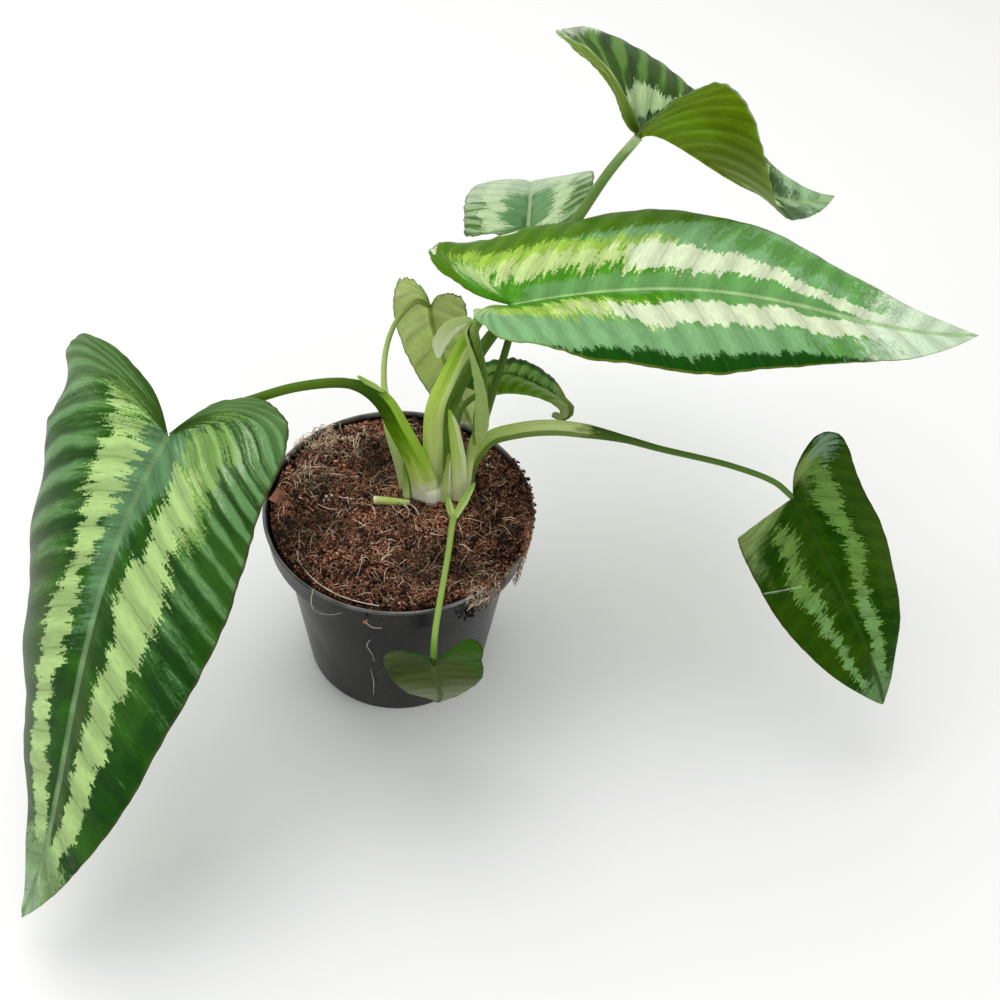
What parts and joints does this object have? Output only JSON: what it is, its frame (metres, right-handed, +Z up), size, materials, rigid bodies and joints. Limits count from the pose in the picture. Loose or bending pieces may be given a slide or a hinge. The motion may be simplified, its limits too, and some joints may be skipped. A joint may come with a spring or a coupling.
{
  "type": "potted schismatoglottis wallichii",
  "caption": "Potted aroid house plant: long arching stalks with heart-shaped pale-banded leaves, in a round tapered black nursery pot filled with mix.",
  "frame": {"origin": "middle of the pot's underside, on the plane it stands on", "axes": "+Z up; the plant's front, as pictured, faces -Y; +X to the right, the way the longest leaf reaches"},
  "size_m": [0.4067, 0.3584, 0.2698],
  "materials": {
    "left_leaf": "dark green leaf with two jagged pale green bands along the midrib, soft satin sheen",
    "right_leaf": "bright green leaf with two jagged cream-green bands along the midrib, soft satin sheen",
    "top_leaf": "variegated upper side and olive-green underside, satin",
    "back_leaf": "silvery green variegated leaf, satin",
    "low_right_leaf": "very dark green leaf with faint mid-green bands, satin",
    "young_leaf": "pale olive-green underside with a darker midrib, matt",
    "small_leaf": "dark green upper side and bright green underside, satin",
    "front_leaf": "grey-olive underside, matt",
    "rolled_leaf": "pale grey-green rolled leaf with a translucent flap, satin",
    "top_stalk": "green stalk, paler towards its foot, satin",
    "right_stalk": "green stalk, paler towards its foot, satin",
    "back_stalk": "green stalk, paler towards its foot, satin",
    "small_stalk": "green stalk, paler towards its foot, satin",
    "low_right_stalk": "green stalk, paler towards its foot, satin",
    "left_stalk": "green stalk, paler towards its foot, satin",
    "young_stalk": "green stalk, paler towards its foot, satin",
    "front_stalk": "green stalk, paler towards its foot, satin",
    "bract": "pale green papery sheath, matt",
    "crown": "white to pale green fleshy base of the shoots, satin",
    "cut_stub": "cut end of an old stalk, dull",
    "potting_mix": "brown fibrous potting mix, matt",
    "pot": "black moulded nursery pot plastic, satin"
  },
  "bodies": {
    "root": {"left_blade": "left_leaf", "right_blade": "right_leaf", "top_blade": "top_leaf", "back_blade": "back_leaf", "low_right_blade": "low_right_leaf", "young_blade": "young_leaf", "small_blade": "small_leaf", "front_blade": "front_leaf", "rolled_leaf": "rolled_leaf", "top_stalk": "top_stalk", "right_stalk": "right_stalk", "back_stalk": "back_stalk", "small_stalk": "small_stalk", "low_right_stalk": "low_right_stalk", "left_stalk": "left_stalk", "young_stalk": "young_stalk", "front_stalk": "front_stalk", "tall_bract": "bract", "left_bract": "bract", "front_bract": "bract", "crown": "crown", "cut_stub": "cut_stub", "potting_mix": "potting_mix", "pot": "pot"}
  },
  "joints": []
}
